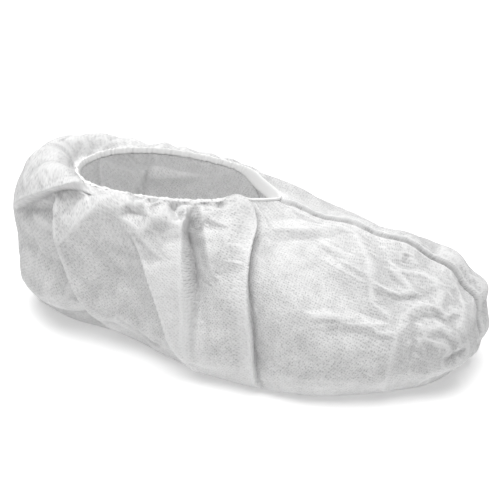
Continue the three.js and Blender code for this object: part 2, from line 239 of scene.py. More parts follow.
# %% Pleats, puffs and tucks of the right panel
# A fold that runs down has its plus side toward the toe; one that runs to the heel has it below; one that
# runs up has it toward the heel.
RIGHT_FOLDS = [
    Fold("cuff by rim", ((5.6, 0.1), (5.95, 0.46), (6.62, 0.79)), 3, 14, 20, 1.6, 1.5, 4, 0.2),
    Fold("heel billow", ((5.03, 1.4), (5.46, 0.87), (5.78, 0.44)), 4, 18, 24, 1.6, 1, 7, 0.2),
    Fold("side edge", ((3.95, 1.45), (4.37, 0.9), (4.7, 0.44)), 6, 30, 24, 1.8, 1, 4, 0.4, 26),
    Fold("main pleat", ((3.78, 0.04), (4.1, 0.5), (4.13, 1.18)), 2.5, 17, 12, 2.5, 2, 14, 0.35, 10),
    Fold("instep pleat", ((2.25, 0.04), (3.4, 0.56), (3.41, 1.42)), 4, 20, 26, 1.7, 5, 6, 0.2, 8),
    Fold("rim puff", ((2.1, 0.08), (2.6, 0.06), (3.3, 0.05)), 5.5, 15, 5, 4, fade=0.45),
    Fold("rim puff tuck", ((3.1, 0.01), (3.14, 0.04), (3.22, 0.08)), -3, 2.5, 2.5, 0.8),
    Fold("valley mouth", ((3.66, 0.02), (3.76, 0.14), (3.86, 0.3)), -5, 5, 4, 1, fade=0.4),
    Fold("first slit", ((4.47, 0.01), (4.44, 0.08), (4.43, 0.17)), -6, 3, 3, 0.8),
    Fold("first lobe", ((4.3, 0.03), (4.27, 0.2), (4.26, 0.4)), 3.5, 6, 8, 3, fade=0.35),
    Fold("second slit", ((4.14, 0.01), (4.05, 0.14), (4.02, 0.28)), -8, 3.5, 3, 0.8, fade=0.2),
    Fold("second lobe", ((3.92, 0.02), (3.88, 0.16), (3.94, 0.36)), 3.5, 4, 5, 2, fade=0.35),
    Fold("lobe edge", ((3.5, 0.01), (3.64, 0.25), (3.76, 0.65)), 5, 14, 4, 1.2, fade=0.25),
    Fold("toe top slit", ((0.33, 0.47), (0.44, 0.48), (0.56, 0.49)), -1.5, 2.5, 2.5, 0.8),
    Fold("toe tuck", ((1.3, 1.04), (1.04, 1.01), (0.76, 1)), -3, 3, 5, 1, fade=0.3),
    Fold("heel tuck", ((4.48, 1.2), (4.72, 1.13), (4.97, 1.07)), 1, 7, 10, 0.7, 1, 9, 0.25),
]
print("right panel: %d folds" % len(RIGHT_FOLDS))

# %% Creases of the right panel
# Each place on a crease is a station, a depth and a lift. The cloth between the creases is flat.
Crease = namedtuple("Crease", "name path")
RIGHT_CREASES = [
    Crease("cuff ridge", ((5.9, 0.46, 2), (6.15, 0.58, 4), (6.5, 0.74, 3), (6.85, 0.84, 1))),
    Crease("under cuff", ((6.2, 0.69, -1), (6.6, 0.89, -2), (6.85, 0.96, -3))),
    Crease("heel hollow", ((6.7, 1, -4), (6.4, 0.93, -5), (6.1, 0.88, -5), (5.82, 0.92, -6))),
    Crease("heel foot", ((6.4, 1.12, 0), (5.95, 1.12, 1), (5.7, 1.1, 3), (5.55, 1.05, 1))),
    Crease("heel under", ((6.3, 1.25, -6), (5.9, 1.28, -8), (5.5, 1.26, -7))),
    Crease("triangle valley", ((5.25, 0.1, -3), (5.38, 0.33, -4), (5.58, 0.58, -1))),
    Crease("slanting ridge", ((5.01, 0.1, 2), (5.2, 0.43, 5), (5.36, 0.6, 5.5), (5.52, 0.73, 4))),
    Crease("side crease", ((5.41, 0.89, 2), (5.18, 0.82, 2.5), (5, 0.76, 2.5), (4.75, 0.69, 0))),
    Crease("under side crease", ((5.35, 0.95, 1), (5.1, 0.88, 0.5), (4.9, 0.82, 0))),
    Crease("side foot", ((5.3, 1.1, -3), (5, 1.17, -5), (4.75, 1.2, -4))),
    Crease("ring puff", ((4.82, 0.45, 2), (4.83, 0.33, 3.5), (4.73, 0.2, 3.5), (4.54, 0.17, 3))),
    Crease("ring puff foot", ((4.42, 0.3, 3), (4.46, 0.4, 3.5), (4.58, 0.47, 4), (4.71, 0.49, 3))),
    Crease("ring puff dent", ((4.7, 0.33, -1), (4.58, 0.32, -1.5))),
    Crease("bright facet", ((4.3, 0.45, 0), (4.36, 0.7, 2), (4.28, 1, 4))),
    Crease("plain side", ((4.8, 0.8, 0), (4.65, 0.95, 0), (4.55, 1.15, 0))),
    Crease("plain lobe", ((3.4, 0.25, 0), (3.55, 0.6, 0), (3.6, 1, 0))),
    Crease("plain vamp", ((2.9, 0.35, 0), (2.8, 0.6, 0), (2.9, 0.95, 0))),
    Crease("notch puff dish", ((1.9, 0.09, 0), (1.3, 0.08, -1), (0.7, 0.1, -0.5))),
    Crease(
        "notch puff lip",
        ((2.31, 0.15, 1.5), (1.72, 0.14, 3.5), (1.15, 0.155, 4), (0.57, 0.18, 3), (0.2, 0.23, 1.5)),
    ),
    Crease("under lip", ((2.2, 0.21, 0), (1.7, 0.19, 0), (1.1, 0.21, 0), (0.6, 0.24, 0.5))),
    Crease("short vamp line", ((1.09, 0.21, 1), (1.25, 0.25, 1.5), (1.37, 0.29, 0.5))),
    Crease("vamp ridge", ((0.3, 0.26, 1), (0.59, 0.31, 3), (0.88, 0.37, 5), (1.3, 0.46, 5), (1.73, 0.6, 2))),
    Crease("vamp valley", ((0.45, 0.36, -1), (0.8, 0.43, -3), (1.22, 0.53, -2))),
    Crease("upper streak", ((2.52, 0.64, 1), (2.45, 0.7, 3), (2.36, 0.78, 1))),
    Crease("lower streak", ((2.07, 0.65, 1), (2.07, 0.74, 3.5), (2.03, 0.83, 2))),
    Crease("bottom band", ((3.2, 1.12, 2), (2.68, 1.12, 2.5), (2.2, 1.1, 2))),
    Crease("toe top crease", ((0.7, 0.44, -1.4), (0.62, 0.48, -2.3), (0.57, 0.51, -2.3), (0.4, 0.53, -0.6))),
    Crease("toe top ridge", ((0.85, 0.47, 1), (0.7, 0.51, 1.7), (0.6, 0.55, 1.7), (0.45, 0.57, 0.6))),
    Crease("toe slant", ((0.38, 0.6, 0), (0.55, 0.64, 1.7), (0.52, 0.71, 0.6))),
    Crease("bumps", ((1.62, 0.57, 2), (1.51, 0.55, 1), (1.3, 0.55, 2.3), (1.2, 0.58, 1), (1.03, 0.59, 2))),
    Crease("under bumps", ((1.55, 0.63, -0.6), (1.38, 0.6, -1.4), (1.15, 0.63, -1), (0.95, 0.63, 0))),
    Crease("seam line", ((0.26, 0.72, 1), (0.55, 0.77, 2), (0.84, 0.86, 2), (0.97, 0.94, 1))),
    Crease(
        "upper zigzag",
        ((1.75, 0.74, 1), (1.47, 0.69, 0.6), (1.14, 0.66, 1.4), (1, 0.72, 1.4), (0.89, 0.81, 0.6)),
    ),
    Crease("upper zigzag foot", ((1.5, 0.76, -0.6), (1.25, 0.74, -1), (1.1, 0.77, -1.4), (1, 0.84, -0.6))),
    Crease("middle zigzag", ((1.43, 0.77, 0.6), (1.35, 0.82, 1), (1.19, 0.82, 1), (1.04, 0.9, 1))),
    Crease("middle zigzag foot", ((1.38, 0.87, -0.3), (1.2, 0.88, -0.6), (1.08, 0.95, -0.6))),
    Crease("lower zigzag", ((1.7, 0.89, 0), (1.47, 0.86, 1), (1.32, 0.91, 1), (1.21, 0.94, 0.6))),
    Crease("lower zigzag foot", ((1.65, 0.97, -1), (1.45, 0.96, -0.6), (1.35, 1, -0.6))),
    Crease("toe side ridge", ((1.71, 0.77, 1.4), (1.89, 0.86, 2.3), (1.99, 0.96, 2.7), (2.07, 1.2, 2))),
    Crease("toe side valley", ((1.6, 0.83, -0.6), (1.7, 0.93, -1.4), (1.8, 1.06, -1), (1.9, 1.2, -0.3))),
    Crease("toe flap", ((1.4, 1.12, 0), (1.1, 1.09, 0.6), (0.71, 1.1, 0))),
    Crease("toe under", ((1.5, 1.24, -2), (1.15, 1.24, -5), (0.75, 1.25, -5), (0.35, 1.27, -4))),
]
print("right panel: %d creases" % len(RIGHT_CREASES))

# %% Folds and creases of the left panel, which is calmer
LEFT_FOLDS = [
    Fold("heel cuff", ((5.3, 0.24), (5.9, 0.44), (6.7, 0.7)), 2, 16, 20, 1.5, 1, 2),
    Fold("heel billow", ((5.4, 1.1), (5.7, 0.75), (5.6, 0.35)), 2, 16, 24, 1.5, 1, 2),
    Fold("main pleat", ((3.85, 0.3), (4, 0.7), (4.1, 1.3)), 2, 22, 30, 1.5, 2, 4, 0.3, 8),
    Fold("instep pleat", ((3.2, 0.45), (3.35, 0.8), (3.4, 1.4)), 1.5, 22, 34, 1.5, 2, 3, 0.4, 8),
    Fold("toe puff", ((0.4, 0.55), (0.45, 0.7), (0.5, 0.9)), 3, 16, 16, 5),
    Fold("dent on toe", ((0.6, 0.44), (0.8, 0.43), (1, 0.42)), -3, 10, 11, 4),
    Fold("heel tuck", ((4.45, 1.2), (4.75, 1.14), (5.1, 1.08)), 1, 7, 12, 0.8, 1, 6, 0.4),
]
LEFT_CREASES = [
    Crease("heel valley", ((4.9, 0.08, -2), (5.1, 0.4, -5), (5.2, 0.9, -3))),
    Crease("slanting ridge", ((4.9, 0.3, 2), (5.1, 0.6, 4), (5.4, 0.9, 3))),
    Crease("side edge", ((4.6, 0.4, 2), (4.45, 0.8, 5), (4.2, 1.2, 2))),
    Crease("vamp crease", ((2.4, 0.5, 1), (2.2, 0.7, 3), (1.9, 0.85, 2))),
    Crease("toe side ridge", ((1.5, 0.7, 2), (1.8, 0.95, 4), (1.9, 1.2, 2))),
    Crease("toe crease", ((0.7, 0.6, 1), (1, 0.57, 3), (1.4, 0.56, 1))),
    Crease("toe crumple", ((0.8, 0.75, -1), (1.1, 0.72, -3), (1.4, 0.7, -1))),
]
print("left panel: %d folds, %d creases" % (len(LEFT_FOLDS), len(LEFT_CREASES)))

# %% [markdown]
# ## Flat facets between creases
# Stiff nonwoven doesn't bend everywhere: it stays flat between its creases, as crumpled paper does. So the
# creases are places on the cloth with a lift of their own, a Delaunay net joins them into triangles, and the
# lift runs straight across each triangle. Sculpting could give such facets too, but not the same ones twice.

# %% A net of facets over the flat cloth
STATION_MM, DEPTH_MM = 52.0, 115.0
CREASE_STEP, BORDER_STEP = 6.0, 20.0
LAST_DEPTH = 1.42
JOIN_WITHIN, EDGE_SLIP = 1e-4, 1e-6


def on_cloth(station, depth):
    """Places on the panel laid flat, in millimetres."""
    return np.stack([np.multiply(station, STATION_MM), np.multiply(depth, DEPTH_MM)], -1)


def border_places():
    """Places round the panel's edge, where the facets end."""
    wide, deep = LAST_STATION * STATION_MM, LAST_DEPTH * DEPTH_MM
    u, v = np.arange(0, wide + 1, BORDER_STEP), np.arange(0, deep + 1, BORDER_STEP)
    rows = [np.stack([u, np.full_like(u, edge)], 1) for edge in (0, deep)]
    columns = [np.stack([np.full_like(v, edge), v], 1) for edge in (0, wide)]
    return np.concatenate(rows + columns)


def facet_lifts(places, lifts, u, v):
    """Lifts on the grid of columns u and rows v, straight across each triangle of the net."""
    net = delaunay_2d_cdt([Vector(place) for place in places], [], [], 0, JOIN_WITHIN)
    corners, _, triangles, sources, _, _ = net
    heights = [np.mean([lifts[i] for i in source]) for source in sources]
    grid = np.zeros((len(u), len(v)))
    for triangle in triangles:
        (ax, ay), (bx, by), (cx, cy) = (corners[i] for i in triangle)
        i0, i1 = np.searchsorted(u, (min(ax, bx, cx), max(ax, bx, cx)))
        j0, j1 = np.searchsorted(v, (min(ay, by, cy), max(ay, by, cy)))
        x, y = u[i0 : i1 + 1, None], v[None, j0 : j1 + 1]
        area = (by - cy) * (ax - cx) + (cx - bx) * (ay - cy)
        first = ((by - cy) * (x - cx) + (cx - bx) * (y - cy)) / area
        second = ((cy - ay) * (x - cx) + (ax - cx) * (y - cy)) / area
        third = 1 - first - second
        within = np.minimum(np.minimum(first, second), third) >= -EDGE_SLIP
        ha, hb, hc = (heights[i] for i in triangle)
        grid[i0 : i1 + 1, j0 : j1 + 1][within] = (first * ha + second * hb + third * hc)[within]
    return grid


def crease_places(path):
    """Places along a crease at short steps, straight from each of its places to the next."""
    path = np.array(path, float)
    gaps = np.linalg.norm(np.diff(on_cloth(path[:, 0], path[:, 1]), axis=0), axis=1)
    marks = np.concatenate([[0], np.cumsum(gaps)])
    steps = np.linspace(0, marks[-1], 1 + math.ceil(marks[-1] / CREASE_STEP))
    steps = np.unique(np.concatenate([steps, marks]))
    return np.stack([np.interp(steps, marks, column) for column in path.T], 1)


def crease_net(creases):
    """Places and lifts of the creases and of the panel's edge."""
    rows = np.concatenate([crease_places(crease.path) for crease in creases])
    border = border_places()
    places = np.concatenate([on_cloth(rows[:, 0], rows[:, 1]), border])
    return places, np.concatenate([rows[:, 2], np.zeros(len(border))])


print("the net has %d places along the panel's edge" % len(border_places()))

# %% [markdown]
# ## Crumples and gathers
# Handling leaves small facets all over the fabric, most of them at the toe, and the elastic draws narrow
# gathers into it below the hem. There are too many to place one by one, so a random generator throws them.
# It has a seed, which gives the same ones each time, and a row for each zone sets their size and spacing.

# %% Crumples, thrown at random
Zone = namedtuple("Zone", "name stations depths pitch height")
COARSE_ZONES = [
    Zone("toe", (0, 1.9), (0.38, 1.2), 15, 0.4),
    Zone("heel cap", (5.4, 7), (0.1, 0.75), 24, 0.6),
    Zone("vamp", (0, 3), (0, 0.7), 32, 0.5),
    Zone("side", (2.9, 5.3), (0.15, 1.2), 30, 0.5),
    Zone("rest", (0, 7), (0, 2), 30, 0.5),
]
FINE_ZONES = [
    Zone("toe", (0, 1.9), (0.38, 1.2), 9, 0.2),
    Zone("rest", (0, 7), (0, 2), 12, 0.1),
]
THROWS = 2600
CLOSEST = 0.72


def zone_at(zones, station, depth):
    """The first zone in the list that holds a place."""
    for zone in zones:
        if zone.stations[0] <= station <= zone.stations[1] and zone.depths[0] <= depth <= zone.depths[1]:
            return zone


def crumple_net(zones):
    """Random places at least a share of their zone's pitch apart, each with a random lift."""
    border = border_places()
    places, lifts = list(border), [0.0] * len(border)
    for _ in range(THROWS):
        station, depth = rng.uniform(0, LAST_STATION), rng.uniform(0, LAST_DEPTH)
        zone = zone_at(zones, station, depth)
        place = on_cloth(station, depth)
        if np.linalg.norm(np.array(places) - place, axis=1).min() > CLOSEST * zone.pitch:
            places.append(place)
            lifts.append(zone.height * rng.uniform(-1, 1))
    return np.array(places), np.array(lifts)


print("crumples, with their pitch in mm:", [(zone.name, zone.pitch) for zone in COARSE_ZONES + FINE_ZONES])

# %% Gathers below the elastic
Gathers = namedtuple("Gathers", "stations reach height spread step")
RIGHT_GATHERS = [
    Gathers((5.4, 6.9), (0.3, 0.6), (0.8, 2), (4, 6.5), (0.17, 0.34)),
    Gathers((3.5, 5.1), (0.1, 0.25), (0.6, 2.2), (2.5, 4.5), (0.08, 0.34)),
]
LEFT_GATHERS = [Gathers((3.3, 6.9), (0.16, 0.5), (0.6, 1.8), (3, 6), (0.12, 0.34))]
GATHER_SWAY, GATHER_START, GATHER_EDGE = 0.1, 0.005, 0.8


def gather_rows(gathers):
    """Narrow folds, ridges and valleys in turn, that start at the rim and die away down the fabric."""
    rows = []
    station, last = gathers.stations
    while station < last:
        height = rng.uniform(*gathers.height) * (1 if len(rows) % 2 else -1)
        reach = rng.uniform(*gathers.reach)
        sway = rng.uniform(-GATHER_SWAY, GATHER_SWAY)
        path = ((station, GATHER_START), (station + sway / 3, reach / 2), (station + sway, reach))
        plus, minus = rng.uniform(*gathers.spread), rng.uniform(*gathers.spread)
        rows.append(Fold("gather", path, height, plus, minus, GATHER_EDGE))
        station += rng.uniform(*gathers.step)
    return rows


for gathers in RIGHT_GATHERS:
    RIGHT_FOLDS += gather_rows(gathers)
for gathers in LEFT_GATHERS:
    LEFT_FOLDS += gather_rows(gathers)
print("with gathers: right %d, left %d" % (len(RIGHT_FOLDS), len(LEFT_FOLDS)))

# %% [markdown]
# ## The panels
# Each panel is a grid of fabric points: the smooth form, lifted by all its folds. Along the toe the sewn
# seam pulls a groove into the fabric and puckers it, and the left panel rolls up beside the stitches. At the
# rim the right panel's edge is drawn up and out over the hem. All this is worked out on the points before a
# mesh is made, because distances to curves are quick to measure for all points at once.

# %% The grid of a panel
COLUMNS = 300
RING_COUNTS = {"upper": 100, "under": 34, "sole": 15}

stations = np.linspace(0, LAST_STATION, COLUMNS + 1)
depths = np.concatenate([
    np.linspace(0, BELLY_DEPTH, RING_COUNTS["upper"], endpoint=False),
    np.linspace(BELLY_DEPTH, SOLE_EDGE_DEPTH, RING_COUNTS["under"], endpoint=False),
    np.linspace(SOLE_EDGE_DEPTH, SOLE_CENTRE_DEPTH, RING_COUNTS["sole"]),
])
GRID = (len(stations), len(depths))
grid_station, grid_depth = (axis.ravel() for axis in np.meshgrid(stations, depths, indexing="ij"))
print("panel grid %d x %d" % GRID)

# %% The centre seam
TOE_SINK, TIP_SINK, TIP_DEPTHS = 1.5, 6.0, (0.45, 0.8)
HEEL_SINK, HEEL_SINK_WIDTH = 1.0, 5.0
STITCH_SINK, STITCH_WIDTH = 2.0, 0.9
PUCKER_HEIGHT, PUCKER_WIDTH, PUCKERS = 1.3, 20.0, 5
FINE_PUCKER_HEIGHT, FINE_PUCKER_WIDTH, FINE_PUCKERS = 0.15, 7.0, 23
Roll = namedtuple("Roll", "height width lean sink_width")
RIGHT_ROLL, LEFT_ROLL = Roll(0, 9, 0, 18), Roll(2.5, 12, 1, 8)
ROLL_RISE, ROLL_LEAN_WIDTH = 2.5, 7.0


def bell(distance, width):
    """A bell curve: 1 at the middle, and nearly 0 from twice the width on."""
    return np.exp(-((distance / width) ** 2))


def seam_lift(points, station, depth, roll):
    """The groove of the centre seam, the roll of fabric beside it, and its puckers."""
    toe = station < LAST_STATION / 2
    y = points[:, 1]
    toe_sink = TOE_SINK + (TIP_SINK - TOE_SINK) * smooth(depth, *TIP_DEPTHS)
    lift = -np.where(toe, toe_sink, HEEL_SINK) * bell(y, np.where(toe, roll.sink_width, HEEL_SINK_WIDTH))
    lift -= STITCH_SINK * bell(y, STITCH_WIDTH)
    lift += toe * roll.height * smooth(y, 0, ROLL_RISE) * bell(y, roll.width)
    wave = np.sin(2 * math.pi * PUCKERS * depth) * bell(y, PUCKER_WIDTH)
    fine = np.sin(2 * math.pi * FINE_PUCKERS * depth) * bell(y, FINE_PUCKER_WIDTH)
    return lift + toe * (PUCKER_HEIGHT * wave + FINE_PUCKER_HEIGHT * fine)


def seam_overhang(points, station, roll):
    """How far the roll beside the toe's seam leans over it, as a sideways shift."""
    y = points[:, 1]
    over = smooth(y, 0, ROLL_RISE) * bell(y, ROLL_LEAN_WIDTH)
    return -roll.lean * over * (station < LAST_STATION / 2)


print("seam: rolls of %.1f mm on the right and %.1f mm on the left" % (RIGHT_ROLL.height, LEFT_ROLL.height))

# %% The rim beside the notch and over the hem
RISE_STATION, RISE_REACH, RISE_HEIGHT, RISE_DEPTH = 2.6, 0.6, 5.0, 0.2
LAP_UP, LAP_OUT, LAP_DEPTH = 1.6, 0.6, 0.045
LAP_STARTS, LAP_ENDS = (0, 0.8), (5.2, 6)


def rim_rise(station):
    """How much the puff beside the notch carries the right panel's rim upward."""
    return RISE_HEIGHT * (1 - smooth(np.abs(station - RISE_STATION), 0, RISE_REACH))


def rim_way(station):
    """The level direction along the rim, toward the next station."""
    return unit((on_ring("rim", station + SMALL_STEP) - on_ring("rim", station - SMALL_STEP)) * (1, 1, 0))


def rim_lap(station, depth):
    """How the panel's edge is drawn up and out, to lap over the hem behind it."""
    lap = np.cross(rim_way(station), (0, 0, LAP_OUT)) + (0, 0, LAP_UP)
    share = smooth(station, *LAP_STARTS) * (1 - smooth(station, *LAP_ENDS))
    return lap * (share * (1 - smooth(depth, 0, LAP_DEPTH)))[:, None]


print("rim: up to %.1f mm higher beside the notch" % rim_rise(stations).max())

# %% Where light and shade are painted on the plain cloth
# Painted shade at the toe, painted light at the sole's edge and along the gathered rim.
TOE_STATIONS, TOE_TOP, TOE_FOOT = (1.5, 2.3), (0.3, 0.45), (1, 1.25)
TOE_PAINTED_SHADE, SOLE_PAINTED_LIGHT, SOLE_PAINTED_LIGHT_DEPTH = 0.45, 0.9, (1.05, 1.2)
RIM_PAINTED_LIGHT, RIM_PAINTED_LIGHT_DEPTH = 0.7, (0.1, 0.5)
RIM_PAINTED_LIGHT_FRONT, RIM_PAINTED_LIGHT_HEEL = (1.8, 2.8), (4.7, 5.5)


def plain_painted_shading(station, depth):
    """Painted light and shade before the folds: painted light at the gathered rim and the sole's edge,
    painted shade at the toe.
    """
    gathered = smooth(station, *RIM_PAINTED_LIGHT_HEEL) + 1 - smooth(station, *RIM_PAINTED_LIGHT_FRONT)
    toe = (1 - smooth(station, *TOE_STATIONS)) * smooth(depth, *TOE_TOP) * (1 - smooth(depth, *TOE_FOOT))
    rim = RIM_PAINTED_LIGHT * gathered * (1 - smooth(depth, *RIM_PAINTED_LIGHT_DEPTH))
    return rim + (SOLE_PAINTED_LIGHT * smooth(depth, *SOLE_PAINTED_LIGHT_DEPTH) - TOE_PAINTED_SHADE * toe)


print("layers before the folds: %.2f to %.2f" % (
    plain_painted_shading(grid_station, grid_depth).min(), plain_painted_shading(grid_station, grid_depth).max()
))

# %% All the folds of a panel together
RIM_FADE, FLOOR_FADE, SEAM_FADE = 0.025, (1.3, 1.5), 7.0
CREASE_ROUNDING = 1
LEAST_ROOM = 0.15


def rounded(grid, passes):
    """Takes the knife edge off the creases by blending each point with its neighbours."""
    for _ in range(passes):
        for axis in (0, 1):
            padded = np.moveaxis(np.pad(np.moveaxis(grid, axis, 0), ((1, 1), (0, 0)), mode="edge"), 0, axis)
            before, after = (np.take(padded, np.arange(grid.shape[axis]) + k, axis) for k in (0, 2))
            grid = (before + 2 * grid + after) / 4
    return grid


def facets_on_grid(creases, points):
    """The lift of the creases' facets and of the crumples, which are lower where the form is narrow."""
    u, v = stations * STATION_MM, depths * DEPTH_MM
    nets = (crease_net(creases), crumple_net(COARSE_ZONES), crumple_net(FINE_ZONES))
    stride = np.linalg.norm(np.gradient(points.reshape(*GRID, 3), axis=0), axis=-1)
    room = np.clip(stride / (STATION_MM * LAST_STATION / COLUMNS), LEAST_ROOM, 1)
    facets, *crumples = (facet_lifts(*net, u, v) for net in nets)
    return rounded(facets + room * sum(crumples), CREASE_ROUNDING).ravel()


def fabric_points(folds, creases, roll, rise=0):
    """The folded outside of a panel on the left half, as a grid of points in millimetres, and its painted
    light and shade.
    """
    station, depth = grid_station, grid_depth
    points = form_points(station, depth)
    lift, shift, painted_shading = np.zeros(len(points)), np.zeros_like(points), plain_painted_shading(station, depth)
    for fold in folds:
        add_fold(fold, points, lift, shift, painted_shading)
    lift += facets_on_grid(creases, points)
    ends = smooth(depth, 0, RIM_FADE) * (1 - smooth(depth, *FLOOR_FADE))
    beside = smooth(points[:, 1], 0, SEAM_FADE)
    lift = ends * (lift * beside + seam_lift(points, station, depth, roll))
    folded = points + form_normals(station, depth) * lift[:, None] + shift * (ends * beside)[:, None]
    folded[:, 1] += ends * seam_overhang(points, station, roll)
    folded[:, 2] += rise * rim_rise(station) * (1 - smooth(depth, 0, RISE_DEPTH))
    folded += rise * rim_lap(station, depth)
    folded[:, 1] = np.where((station == 0) | (station == LAST_STATION), points[:, 1], folded[:, 1])
    folded[:, 2] = np.maximum(folded[:, 2], 0)
    return folded.reshape(*GRID, 3), np.clip(painted_shading, -1, 1)


right_grid, right_painted_shading = fabric_points(RIGHT_FOLDS, RIGHT_CREASES, RIGHT_ROLL, 1)
left_grid, left_painted_shading = fabric_points(LEFT_FOLDS, LEFT_CREASES, LEFT_ROLL)
print("top of the folds: %.1f mm" % right_grid[..., 2].max())

# %% [markdown]
# ## The hem
# The fabric's edge is turned over a thin elastic and stitched. Over the sides and the back the elastic
# draws it into a lumpy roll; along the notch at the front it is a plain flat edge. A bevelled curve could
# follow the rim, but this ring of squarish sections lets the gathers change its thickness and height.

# %% The hem along the rim
HEM_THICK, HEM_HEIGHT, HEM_FRONT_HEIGHT = 2.2, 4.5, 9.0
HEM_DROP, HEM_FRONT_DROP = 2.5, 5.5
HEM_STEPS, HEM_TURN = 960, 2 * LAST_STATION
HEM_RIPPLES = ((61, 0.2, 0.3), (113, 0.2, 1.9), (37, 0.16, 4.1), (151, 0.14, 0.8))
HEM_WOBBLE, HEM_WOBBLE_LAG = 0.7, 5
HEM_RISE = 0.5
ELASTIC_STARTS = (2.4, 3.4)

hem_station = np.linspace(0, HEM_TURN, HEM_STEPS, endpoint=False)
elastic = smooth(np.minimum(hem_station, HEM_TURN - hem_station), *ELASTIC_STARTS)
ripple = sum(a * np.sin(2 * math.pi * n * hem_station / HEM_TURN + phase) for n, a, phase in HEM_RIPPLES)
wobble = HEM_WOBBLE * elastic * np.roll(ripple, HEM_WOBBLE_LAG)
hem_half = HEM_THICK / 2 * (1 + elastic * ripple)
hem_height = HEM_FRONT_HEIGHT + (HEM_HEIGHT - HEM_FRONT_HEIGHT) * elastic
hem_drop = HEM_FRONT_DROP + (HEM_DROP - HEM_FRONT_DROP) * elastic
hem_lift = HEM_RISE * rim_rise(HEM_TURN - hem_station) + hem_height / 2 - hem_drop + wobble
print("hem: half its thickness %.2f to %.2f mm" % (hem_half.min(), hem_half.max()))

# %% The hem's ring and its place in the frame
HEM_GAP = 0.35
HEM_TILT = math.radians(30)
HEM_SIDES, HEM_SQUARENESS = 24, 0.5


def squared(value):
    """Pushes a round section's sine or cosine toward a square's."""
    return np.sign(value) * np.abs(value) ** HEM_SQUARENESS


inward = np.cross((0, 0, 1), rim_way(hem_station))
hem_up = np.array((0, 0, math.cos(HEM_TILT))) - inward * math.sin(HEM_TILT)
hem_face = np.array((0, 0, math.sin(HEM_TILT))) + inward * math.cos(HEM_TILT)
hem_centre = on_ring("rim", hem_station) + inward * (HEM_GAP + HEM_THICK / 2)
hem_centre[:, 2] += hem_lift
angle = 2 * math.pi * (np.arange(HEM_SIDES) + 0.5) / HEM_SIDES
across, upright = squared(np.cos(angle)), squared(np.sin(angle))
hem_grid = (
    hem_centre[:, None]
    + hem_face[:, None] * (hem_half[:, None] * across)[..., None]
    + hem_up[:, None] * (hem_height[:, None] / 2 * upright)[..., None]
)
hem_box = np.array(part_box("elastic_hem"))
PLACE = hem_box.mean(0) / MM - (hem_grid.min((0, 1)) + hem_grid.max((0, 1))) / 2
PLACE[2] = 0
print("the cover's middle is moved by", PLACE.round(2), "mm")

# %% [markdown]
# ## Settling the fabric
# Folds placed one by one are too tidy. Real fabric has a little slack, so it buckles between its folds. Noise
# can't give that, but Blender's Cloth can: a coarser copy of each panel is made slightly too large for its
# shape (a shrink below 0), held firmly at rim, seam and sole and loosely elsewhere so that the folds stay,
# and stepped for some frames. Cloth runs more steadily on large pieces, so the copy is ten times as large.
# Only its movement is kept.

# %% Faces of a grid
def grid_faces(rows, columns, close_rows=False, close_columns=False):
    """Quads between neighbouring points of a grid, facing out on the left half."""
    i = np.arange(rows if close_rows else rows - 1)[:, None]
    j = np.arange(columns if close_columns else columns - 1)[None, :]
    following, beside = (i + 1) % rows, (j + 1) % columns
    corners = [i * columns + j, i * columns + beside, following * columns + beside, following * columns + j]
    return np.stack([np.broadcast_to(c, (len(i), j.shape[1])) for c in corners], -1).reshape(-1, 4)


print("a panel has %d faces" % len(grid_faces(*GRID)))

# %% One run of Cloth
SETTLE_FRAMES = 20
SLACK = 0.004
CLOTH_GRAVITY = 0.1
CLOTH_SETTINGS = {
    "quality": 5,
    "mass": 0.1,
    "air_damping": 3,
    "tension_stiffness": 40,
    "compression_stiffness": 40,
    "shear_stiffness": 15,
    "bending_stiffness": 0.5,
    "tension_damping": 15,
    "compression_damping": 15,
    "shear_damping": 15,
    "shrink_min": -SLACK,
}


def cloth_run(piece, held):
    """Steps a Cloth modifier and returns where it leaves the piece's points."""
    cloth = piece.modifiers.new("settle", "CLOTH")
    for setting, value in CLOTH_SETTINGS.items():
        setattr(cloth.settings, setting, value)
    cloth.settings.effector_weights.gravity = CLOTH_GRAVITY
    cloth.settings.vertex_group_mass = held
    cloth.point_cache.frame_start, cloth.point_cache.frame_end = 1, SETTLE_FRAMES
    for frame_number in range(1, SETTLE_FRAMES + 1):
        scene.frame_set(frame_number)
    rest = piece.evaluated_get(bpy.context.evaluated_depsgraph_get()).data
    places = np.zeros(3 * len(rest.vertices))
    rest.vertices.foreach_get("co", places)
    scene.frame_set(1)
    return places


print("cloth: %d frames with %.1f%% of slack" % (SETTLE_FRAMES, 100 * SLACK))

# %% The panels at rest
SETTLE_STEP, SETTLE_SCALE = 2, 10.0
RIM_HELD, SOLE_HELD, SEAM_HELD = (0, 0.06), (1.1, 1.4), (1, 8)
LOOSE_HOLD = 0.1


def hold(piece, grid, depth):
    """A vertex group that holds the rim, the sole and the seam firmly and the rest loosely."""
    firm = np.maximum(1 - smooth(depth, *RIM_HELD), smooth(depth, *SOLE_HELD))
    firm = np.maximum(firm, 1 - smooth(grid[..., 1], *SEAM_HELD))
    group = piece.vertex_groups.new(name="held")
    for index, weight in enumerate(np.maximum(firm, LOOSE_HOLD).ravel()):
        group.add([index], float(weight), "REPLACE")
    return group.name


def between_points(moved, grid):
    """The coarse grid's movement spread over the fine grid, halfway between neighbours."""
    finer = np.zeros_like(grid)
    finer[::2, ::2] = moved
    finer[1::2, ::2] = (moved[:-1] + moved[1:]) / 2
    finer[:, 1::2] = (finer[:, :-1:2] + finer[:, 2::2]) / 2
    return finer


